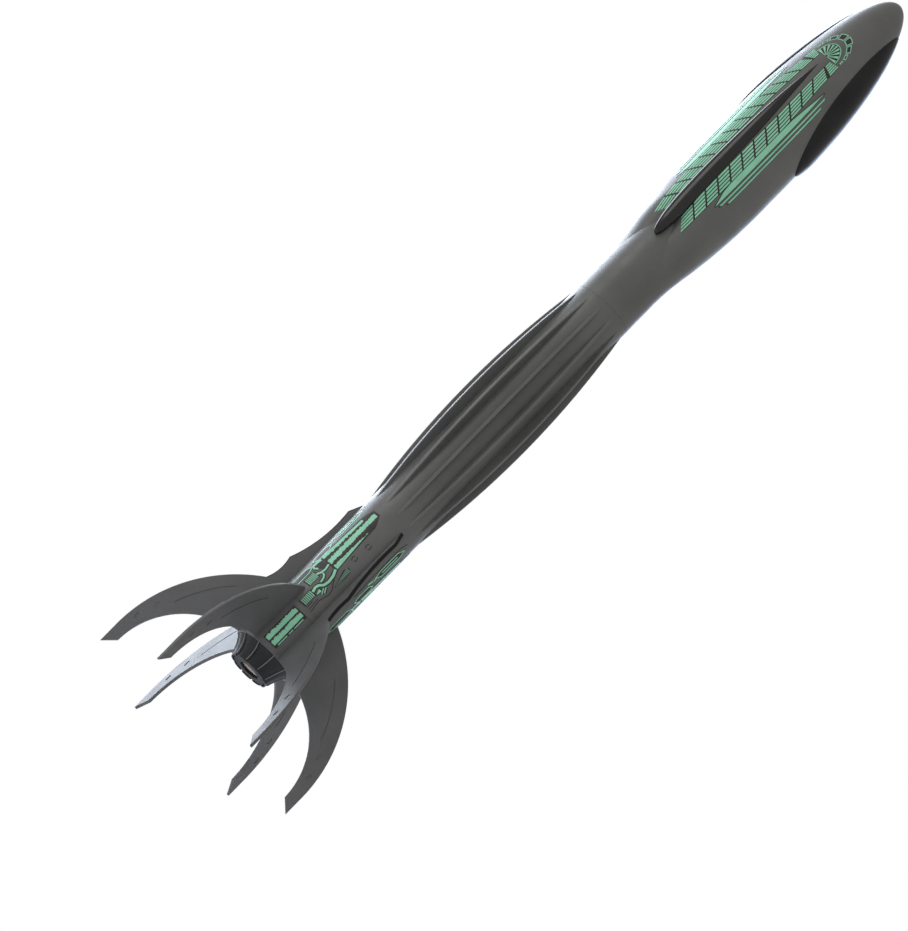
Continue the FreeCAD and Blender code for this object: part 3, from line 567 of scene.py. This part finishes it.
class Print:
    """A thin layer of one colour laid on a surface, made of closed patches.

    Places on it are (angle, height), and a line's or a rib's width is in millimetres. A patch's underside
    is BURIED millimetres deep. Its grid steps by LONG_STEP millimetres along the rocket and WIDE_STEP
    degrees round it, and a ragged bar stays LEAST degrees wide.
    """

    BURIED = 0.12
    LONG_STEP = 3.0
    WIDE_STEP = 3.0
    LEAST = 0.3

    def __init__(self, point_at, radius, lift, turn=0.0):
        self.point_at, self.radius, self.lift, self.turn = point_at, radius, lift, turn
        self.points, self.faces = [], []

    def band(self, edges):
        """A patch between two edges, given as rows of ((angle, height), (angle, height))."""
        rows = []
        for (left, right), (next_left, next_right) in zip(edges, edges[1:]):
            steps = max(1, math.ceil(abs(next_left[1] - left[1]) / self.LONG_STEP))
            for step in range(steps):
                share = step / steps
                rows.append([tuple(a + (b - a) * share for a, b in zip(p, q))
                             for p, q in ((left, next_left), (right, next_right))])
        rows.append([edges[-1][0], edges[-1][1]])
        span = max(abs(right[0] - left[0]) for left, right in rows)
        columns = max(1, math.ceil(span / self.WIDE_STEP))
        start, width = len(self.points), columns + 1
        for depth in (self.lift, -self.BURIED):
            for left, right in rows:
                for j in range(width):
                    angle, height = (a + (b - a) * j / columns for a, b in zip(left, right))
                    self.points.append(self.point_at(angle + self.turn, depth, height))
        under = len(rows) * width
        rim = []
        for i in range(len(rows) - 1):
            for j in range(columns):
                a = start + i * width + j
                self.faces.append((a, a + 1, a + width + 1, a + width))
                self.faces.append(tuple(under + k for k in (a, a + width, a + width + 1, a + 1)))
            a = start + i * width
            rim += [(a, a + width), (a + width + columns, a + columns)]
        last = start + (len(rows) - 1) * width
        for j in range(columns):
            rim += [(start + j + 1, start + j), (last + j, last + j + 1)]
        self.faces += [(a, b, under + b, under + a) for a, b in rim]

    def line(self, path, width):
        """A stroke of one width along a path of places."""
        flat = [Vector((math.radians(a) * self.radius, z)) for a, z in path]
        edges = []
        for i, spot in enumerate(flat):
            before, after = flat[max(0, i - 1)], flat[min(len(flat) - 1, i + 1)]
            forward = (after - before).normalized()
            side = Vector((-forward.y, forward.x)) * width / 2
            edges.append([(math.degrees(p.x / self.radius), p.y) for p in (spot - side, spot + side)])
        self.band(edges)

    def bar(self, low, high, left, right, ragged_left=0.0, ragged_right=0.0, step=0.5, seed=1):
        """A bar along the rocket whose long edges may be ragged.

        left and right are functions of a share, and each step keeps some of the last one's drift.
        """
        kept = 0.25
        dice = random.Random(seed)
        count = max(2, round((high - low) / step))
        edges = []
        drift = [0.0, 0.0]
        for i in range(count + 1):
            share = i / count
            for side, ragged in enumerate((ragged_left, ragged_right)):
                drift[side] = drift[side] * kept + dice.uniform(-ragged, ragged)
            height = low + (high - low) * share
            end = right(share) + drift[1]
            start = min(left(share) + drift[0], end - self.LEAST)
            edges.append([(start, height), (end, height)])
        self.band(edges)

    def ribs(self, low, high, left, right, count, width):
        """Short strokes across a strip, side by side along the rocket."""
        for i in range(count):
            share = (i + 0.5) / count
            height = low + (high - low) * share
            self.band([[(left(share), height - width / 2), (right(share), height - width / 2)],
                       [(left(share), height + width / 2), (right(share), height + width / 2)]])

    def finish(self, name, material, body):
        """The layer as one piece."""
        piece(name, self.points, self.faces, material, body, smooth=False)


def straight(start, end):
    """A function of a share that goes evenly from start to end."""
    return lambda share: start + (end - start) * share


def tube_degrees(length):
    """Degrees round the body tube that a length takes up."""
    return math.degrees(length / TUBE_R)


def add_ladder(mint, umber, dividers, side):
    """The ladder, a blade and two long stripes on one side of the nose's front; side is 1 or -1."""
    low, high, rung_pitch, tilt, top_tilt = 447.0, 585.0, 11.1, -7.7, 1.5
    inner, pitch, stripe, stripes = 12.8, 3.55, 2.3, 5
    outer = inner + (stripes - 1) * pitch + stripe
    narrow_from, narrowing, square_over = 540, 0.16, 9

    def spot(edge, height, margin=0.0, offset=0.0):
        """A place on the ladder, which narrows towards its top and ends square."""
        narrow = 1 - narrowing * max(0.0, (height - narrow_from) / (high - narrow_from))
        height += offset
        square = min(1.0, max(0.0, (height - high + square_over) / square_over))
        slant = (tilt + square * (top_tilt - tilt)) * (edge - inner) / (outer - inner)
        return side * (edge + margin) * narrow, height + slant

    def lay(layer, rows):
        layer.band([[(side * a, z) for a, z in row] for row in rows])

    def level(rows):
        return [[(a, z), (b, z)] for a, b, z in rows]

    border, rung_border, rows = 1.0, 0.6, 40
    heights = [low + (high - low) * i / rows for i in range(rows + 1)]
    umber.band([[spot(inner, z, -border), spot(outer, z, border)] for z in heights])
    for k in range(stripes):
        left = inner + k * pitch
        mint.band([[spot(left, z), spot(left + stripe, z)] for z in heights])
    rung, half = low + rung_pitch, 0.75
    while rung < high - 3:
        dividers.band([[spot(inner, rung, -rung_border, d), spot(outer, rung, rung_border, d)]
                       for d in (-half, half)])
        rung += rung_pitch

    blade = ((37.3, 37.6, 466), (31.6, 37.8, 476), (30.4, 37.9, 484), (30.4, 37.6, 540), (33.2, 37.2, 554),
             (36.2, 36.4, 567))
    rim, middle, growth = 0.9, 516, 0.014
    lay(umber, level([(a - rim, b + rim, z + (z - middle) * growth) for a, b, z in blade]))
    lay(mint, level(blade))
    for angle, bottom, top in ((41.6, 468, 566), (46.6, 473, 560)):
        lay(umber, [[(angle - 1.5, bottom - 1.5), (angle + 1.5, bottom)],
                    [(angle - 1.5, top), (angle + 1.5, top - 2)]])
        lay(mint, [[(angle - 1.0, bottom), (angle + 1.0, bottom + 1)],
                   [(angle - 1.0, top), (angle + 1.0, top - 1.5)]])


def add_fan(mint, umber, dividers):
    """The fan over the ladders' ends, and the arch of cells round it."""
    hub, arch, spokes, sweep = 586.5, 588.5, 9, 168

    def around(centre, across, along, turn):
        a = math.radians(turn)
        return math.degrees(across * math.sin(a) / pod_radius(centre)), centre + along * math.cos(a)

    def cell(layer, start, end, inner, outer):
        turns = [start + (end - start) * i / 5 for i in range(6)]
        layer.band([[around(arch, *inner, t), around(arch, *outer, t)] for t in turns])

    umber.band([[around(hub, 0.5, 0.7, t), around(hub, 7.4, 10.6, t)] for t in range(-92, 93, 8)])
    for i in range(spokes):
        turn = -sweep / 2 + sweep * i / (spokes - 1)
        mint.band([[around(hub, across, along, turn + d) for d in (-half, half)]
                   for across, along, half in ((0.9, 1.3, 8), (3.6, 5.2, 4), (7.0, 10.2, 5.5))])
    mint.band([[around(hub, 7.3, 10.7, t), around(hub, 7.8, 11.3, t)] for t in range(-94, 95, 8)])
    cells = ((-90, -77, 0.7), (-74, -56, 1.5), (-53, -30, 2.6), (-26, 0, 3.6), (4, 28, 3.6), (31, 54, 2.6),
             (57, 74, 1.5), (78, 90, 0.7))
    for start, end, depth in cells:
        wide, tall = 0.8 * depth, 1.3 * depth
        cell(mint, start, end, (9.4, 13.4), (9.9 + wide, 14.2 + tall))
        cell(dividers, start + 3, end - 3, (9.9, 14.1), (9.5 + wide, 13.5 + tall))


def make_nose_prints():
    """The two ladders with their stripes, and the fan between them, on the nose's front."""
    mint = Print(nose_point, NOSE_R, MINT_LIFT)
    umber = Print(nose_point, NOSE_R, UMBER_LIFT)
    dividers = Print(nose_point, NOSE_R, DIVIDER_LIFT)
    for side in (1, -1):
        add_ladder(mint, umber, dividers, side)
    add_fan(mint, umber, dividers)
    mint.finish("nose_print_mint", MINT, "nose_section")
    umber.finish("nose_print_umber", UMBER, "nose_section")
    dividers.finish("nose_print_dividers", UMBER, "nose_section")


def make_tail_print(number, turn):
    """The printed panel over one plain fin, and the ringed strip at its left, on the body tube."""
    mint = Print(tube_point, TUBE_R, MINT_LIFT, turn)
    faded = Print(tube_point, TUBE_R, FADED_LIFT, turn)
    umber = Print(tube_point, TUBE_R, UMBER_LIFT, turn)
    umber.band([[(-21, 130.4), (24, 130.4)], [(-20, 142), (22, 142)], [(-18, 160), (19.5, 162)],
                [(-15.5, 167.5), (19, 168)], [(-7, 175.8), (8.6, 175.8)]])
    mint.bar(131.8, 166.6, straight(-18.6, -12.2), straight(-10.6, -6.6), ragged_right=1.3, seed=3)
    mint.bar(131.8, 174.2, straight(-2.6, -2.0), straight(7.2, 6.4), 1.2, 1.1, seed=5)
    mint.bar(131.8, 162.2, straight(13.6, 15.6), straight(22.2, 16.2), ragged_left=0.9, seed=8)
    for low, high, left, right in ((112.6, 120.6, -7.0, 7.4), (101.0, 109.8, 13.6, 26.6)):
        umber.band([[(left - 1.6, low - 0.8), (right + 1.6, low - 0.8)],
                    [(left - 1.6, high + 0.8), (right + 1.6, high + 0.8)]])
        mint.ribs(low, high, straight(left, left), straight(right, right), 7, 0.58)
    pipes = (
        ([(-17.8, 123.8), (-17.2, 127.0), (-14.4, 130.4)], 1.9),
        ([(-17.6, 124.0), (-12.0, 123.0), (-5.0, 124.4)], 1.2),
        ([(0.6, 120.8), (4.6, 123.4), (6.6, 126.6), (4.2, 130.6)], 1.3),
        ([(16.8, 118.6), (15.2, 121.6), (11.6, 123.6), (7.8, 123.8)], 1.2),
        ([(19.0, 110.4), (16.6, 113.6), (18.4, 116.0), (24.6, 118.4), (26.6, 122.0), (25.0, 126.6),
          (20.0, 130.8)], 1.7),
        ([(27.6, 116.8), (33.0, 113.2)], 0.7),
        ([(30.0, 118.2), (35.0, 114.8)], 0.7),
    )
    umber.band([[(-13.0, 124.6), (-2.0, 124.8)], [(-15.0, 126.6), (4.0, 127.0)],
                [(-13.4, 129.8), (3.0, 130.2)]])
    umber.band([[(25.6, 109.6), (29.0, 110.2)], [(21.6, 115.4), (30.4, 115.4)]])
    mint.band([[(26.8, 110.8), (27.8, 111.0)], [(23.2, 114.4), (29.2, 114.5)]])
    for path, width in pipes:
        umber.line(path, width + 1.6)
        mint.line(path, width)
    umber.line([(-18.6, 110.5), (-20.5, 120.0), (-21.0, 131.0)], 0.6)
    umber.line([(23.0, 131.4), (30.0, 125.4), (40.6, 119.6), (42.4, 116.0), (37.0, 108.6), (41.0, 100.4)],
               0.6)
    umber.line([(36.0, 100.6), (33.2, 109.6)], 0.5)
    umber.line([(31.0, 100.6), (30.0, 106.0)], 0.5)
    umber.band([[(40.6, 122.0), (41.6, 122.0)], [(30.6, 133.6), (43.0, 131.0)],
                [(33.6, 137.4), (42.0, 136.0)]])
    faded.ribs(123.2, 136.4, straight(40.4, 31.6), straight(41.2, 41.0), 13, 0.6)
    half_wide, half_tall = tube_degrees(1.5), 2.1
    for centre, height in ((30.5, 144.0), (33.5, 155.5)):
        for start, end in ((20, 160), (200, 330)):
            turns = [math.radians(t) for t in range(start, end, 20)]
            umber.line([(centre + half_wide * math.sin(t), height + half_tall * math.cos(t)) for t in turns],
                       0.55)
    strip = ((101.0, 123.4, -26.0, -13.0), (126.0, 142.5, -31.0, -19.0), (146.0, 172.5, -38.0, -25.5))
    for low, high, left, right in strip:
        cut, slope = (high - low) * 0.2, (right - left) * 0.4
        umber.band([[(left + slope, low - 0.8), (left + slope + 1, low - 0.8)],
                    [(left - 1.6, low + cut), (right + 1.6, low + cut)],
                    [(left - 1.6, high - cut), (right + 1.6, high - cut)],
                    [(right - slope - 1, high + 0.8), (right - slope, high + 0.8)]])
        for edge in (left, right):
            mint.line([(left + slope, low), (edge, low + cut), (edge, high - cut), (right - slope, high)],
                      0.72)
    mint.line([(-32.0, 152.0), (-31.6, 166.0)], 0.8)
    mint.line([(-35.6, 139.8), (-33.2, 144.0)], 1.0)
    mint.line([(-31.4, 144.4), (-33.6, 147.6)], 1.0)
    umber.line([(-38.8, 128.0), (-41.0, 146.0), (-41.4, 170.0), (-36.8, 176.0)], 0.6)
    mint.finish(f"tail_print_mint_{number}", MINT, "airframe")
    faded.finish(f"tail_print_faded_{number}", FADED, "airframe")
    umber.finish(f"tail_print_umber_{number}", UMBER, "airframe")


def make_sleeve_print(number, turn):
    """The framed panel of two ragged bars on the tail sleeve."""
    mint = Print(sleeve_point, SLEEVE_R, MINT_LIFT, turn)
    umber = Print(sleeve_point, SLEEVE_R, UMBER_LIFT, turn)
    umber.band([[(12.6, 67.7), (42.4, 67.7)], [(12.6, 95.8), (42.4, 95.8)]])
    mint.bar(68.5, 95.0, straight(15.4, 16.2), straight(24.2, 24.6), 1.6, 0.3, seed=11)
    mint.bar(68.5, 95.0, straight(28.6, 28.4), straight(37.0, 36.4), 1.5, 0.2, seed=12)
    for low, high in ((70.4, 78.6), (80.2, 84.0), (85.0, 93.4)):
        mint.bar(low, high, straight(39.6, 39.4), straight(41.2, 41.2), step=3)
    mint.finish(f"sleeve_print_mint_{number}", MINT, "airframe")
    umber.finish(f"sleeve_print_umber_{number}", UMBER, "airframe")


# ---------------------------------------------------------------- nozzle

NOZZLE_ROWS, NOTCH = 30, 1.1


def nozzle_radius(height):
    """The nozzle's outer radius: a dished arc between its exit and the sleeve."""
    low, high = Vector((NOZZLE_EXIT_R, NOZZLE_EXIT)), Vector((NOZZLE_TOP_R, NOZZLE_TOP))
    chord = high - low
    right = Vector((chord.y, -chord.x)).normalized()
    centre = (low + high) / 2 + right * math.sqrt(NOZZLE_ARC ** 2 - chord.length_squared / 4)
    return centre.x - math.sqrt(NOZZLE_ARC ** 2 - (height - centre.y) ** 2)


def seam_angle(number, along):
    """The angle of the seam before a petal at a share of the way up; a seam bows a little to one side."""
    bow = 2.0
    return PETAL_HEADING + (number - 0.5) * (360 / PETALS) + bow * math.sin(math.pi * along)


def make_nozzle():
    """Ten hollowed petals that crowd to the exit, notched at their lips, and the spigot above them."""
    shares = [0, 0.03, 0.06, 0.1, 0.15, 0.21, 0.28, 0.36, 0.45, 0.55, 0.64, 0.72, 0.79, 0.85, 0.9, 0.94, 0.97]
    valley, shallow, seam_reach, notch_reach = 1.05, 0.45, 0.03, 0.1
    inner_gap, spigot_gap = 0.05, 0.65
    outside, inside = [], []
    for i in range(NOZZLE_ROWS + 1):
        along = i / NOZZLE_ROWS
        outer_row, inner_row = [], []
        for k in range(PETALS):
            for share in shares:
                edge = min(share, 1 - share)
                lip = NOTCH * max(0.0, 1 - edge / notch_reach)
                height = NOZZLE_EXIT + lip + (NOZZLE_TOP - NOZZLE_EXIT - lip) * along
                fade = 1 - along ** 8
                slope = 1.0 if share < 0.5 else shallow
                dip = valley * (1 - (edge / 0.5) ** 0.6) * min(1.0, edge / seam_reach) * slope
                radius = nozzle_radius(height)
                angle = seam_angle(k + share, along)
                outer_row.append(polar(angle, radius - dip * fade, height))
                inner_row.append(polar(angle, radius - NOZZLE_WALL - inner_gap, height))
        outside.append(outer_row)
        inside.append(inner_row)
    spigot_outer, spigot_inner = TUBE_R - spigot_gap, NOZZLE_TOP_R - NOZZLE_WALL
    corners = ((spigot_outer, NOZZLE_TOP), (spigot_outer, SPIGOT_TOP), (spigot_inner, SPIGOT_TOP))
    spigot = [[polar(seam_angle(k + share, 1), radius, height) for k in range(PETALS) for share in shares]
              for radius, height in corners]
    points, faces = ring_grid(outside + spigot + inside[::-1], loop=True)
    piece("tail_nozzle_petals", points, faces, NOZZLE, "airframe", ["tail_nozzle"])


def make_nozzle_ribs():
    """A pale rib along each seam between two petals."""
    half_width, rise, shoulder, foot = 0.4, 0.5, 0.7, -0.6
    profile = ((-1, foot), (-0.8, rise * shoulder), (0, rise), (0.8, rise * shoulder), (1, foot))
    corners = len(profile)
    points, faces = [], []
    for k in range(PETALS):
        rows = []
        for i in range(NOZZLE_ROWS + 1):
            along = i / NOZZLE_ROWS
            height = NOZZLE_EXIT + NOTCH + (NOZZLE_TOP - NOZZLE_EXIT - NOTCH) * along
            radius = nozzle_radius(height)
            half = math.degrees(half_width / radius)
            rows.append([polar(seam_angle(k, along) + side * half, radius + lift, height)
                         for side, lift in profile])
        start = len(points)
        more_points, more_faces = ring_grid(rows, loop=False)
        points += more_points
        faces += [tuple(start + v for v in face) for face in more_faces]
        last = start + NOZZLE_ROWS * corners
        faces += [tuple(range(end, end + corners)) for end in (start, last)]
    piece("tail_nozzle_ribs", points, faces, STRAKE, "airframe")


# ---------------------------------------------------------------- saw fins

def make_saw_painted_shadow():
    """A painted shadow: a black strip along the stepped outer edge of each saw fin, standing in for the shade
    that falls there.
    """
    half, lift, buried, cuts = 1.12, 0.12, 0.3, 12
    corners = [Vector(corner) for corner in ((32.7, 102.0), (31.1, 121.3), (24.9, 168.3), (20.9, 177.3))]
    scoop_radii = (30.0, 101.0, None)
    edge = []
    for start, end, radius in zip(corners, corners[1:], scoop_radii):
        chord = end - start
        inward = Vector((-chord.y, chord.x)).normalized()
        sag = radius - math.sqrt(radius ** 2 - chord.length_squared / 4) if radius else 0.0
        edge += [start + chord * i / cuts + inward * sag * 4 * (i / cuts) * (1 - i / cuts)
                 for i in range(cuts)]
    edge.append(corners[-1])
    profile = ((-half, -buried), (-half, lift), (half, lift), (half, -buried))
    for fin in (2, 4, 6):
        out = heading_vector((fin - 1) * 60)
        side = Vector((-out.y, out.x, 0))
        rows = []
        for i, spot in enumerate(edge):
            forward = (edge[min(i + 1, len(edge) - 1)] - edge[max(i - 1, 0)]).normalized()
            away = Vector((forward.y, -forward.x))
            places = [(across, spot + away * depth) for across, depth in profile]
            rows.append([(out * place.x + side * across + Vector((0, 0, place.y))) * MM
                         for across, place in places])
        points, faces = ring_grid(rows, loop=False)
        last = len(points) - len(profile)
        faces += [tuple(range(first, first + len(profile))) for first in (0, last)]
        piece(f"saw_painted_shadow_{fin}", points, faces, SHADOW, "airframe", smooth=False)


# ---------------------------------------------------------------- soft pieces

def soft_roll(name, node, material, radius, bulge):
    """A soft bundle in the room of an upright CAD cylinder.

    bulge puts each point in place, from its angle, radius and level, its share of the way out from the
    axis, and the cylinder's lowest and highest level.
    """
    low, high = low_and_high(node)
    around, up, cap = 160, 60, 14
    rows = []
    for i in range(cap):
        share = (i + 0.5) / cap
        rows.append([(360 * j / around, radius * share, low, share) for j in range(around)])
    for i in range(up + 1):
        rows.append([(360 * j / around, radius, low + (high - low) * i / up, 1.0) for j in range(around)])
    for i in reversed(range(cap)):
        share = (i + 0.5) / cap
        rows.append([(360 * j / around, radius * share, high, share) for j in range(around)])
    placed = [[bulge(*place, low, high) for place in row] for row in rows]
    points, faces = ring_grid(placed, loop=False)
    for first in (0, (len(rows) - 1) * around):
        pole = len(points)
        middle = sum((points[first + j] for j in range(around)), Vector()) / around
        points.append(middle)
        faces += [(pole, first + j, first + (j + 1) % around) for j in range(around)]
    made = piece(name, points, faces, material, frame["nodes"][node]["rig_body"], [node])


def make_parachute():
    """The rolled canopy: lengthwise pleats, a spiral of film at each end and a squeezed waist."""
    def bulge(angle, radius, level, share, low, high):
        a = math.radians(angle)
        along = (level - low) / (high - low)
        pleats = 0.5 * math.sin(7 * a + 2.2 * math.sin(3 * along)) + 0.3 * math.sin(17 * a + 5 * along)
        crumple = noise.fractal(Vector((math.cos(a) * 2, math.sin(a) * 2, along * 3.4)), 1.0, 2.0, 4)
        squeeze = 1.1 * math.exp(-((along - 0.5) / 0.11) ** 2)
        round_off = 2.6 * (abs(2 * along - 1) ** 9)
        pull = (0.9 - pleats + 0.9 * abs(crumple) + squeeze + round_off * share) * share
        spiral = abs(math.sin(radius * 0.9 + a)) ** 3
        sink = (1.9 * spiral + 0.7 * abs(crumple)) * (1 - share ** 4) + 0.5
        if level == low:
            level += sink
        elif level == high:
            level -= sink
        return polar(angle, max(0.1, radius - max(0.0, pull)), level)

    soft_roll("parachute_bundle", "parachute_pack", CANOPY, 18.2, bulge)


def make_wadding():
    """A crumpled ball of tissue."""
    def bulge(angle, radius, level, share, low, high):
        a = math.radians(angle)
        along = (level - low) / (high - low)
        spot = Vector((math.cos(a) * radius / 9, math.sin(a) * radius / 9, level / 9))
        crumple = abs(noise.fractal(spot, 1.0, 2.0, 5)) * 2.4 + abs(noise.noise(spot * 3.1)) * 0.9
        round_off = 4.4 * abs(2 * along - 1) ** 4
        pull = (crumple + round_off * share) * share
        sink = crumple * 1.4 + 2.6 * share ** 3
        if level == low:
            level += sink
        elif level == high:
            level -= sink
        return polar(angle, max(0.1, radius - pull), level)

    soft_roll("wadding_ball", "recovery_wadding", TISSUE, 17.8, bulge)


make_camera()
make_light()
make_floor()
dress_all()
make_nose()
make_spine()
make_eyes()
make_nose_prints()
for number, turn in enumerate((0.0, 120.0, 240.0), start=1):
    make_tail_print(number, turn)
    make_sleeve_print(number, turn)
make_nozzle()
make_nozzle_ribs()
make_saw_painted_shadow()
make_parachute()
make_wadding()
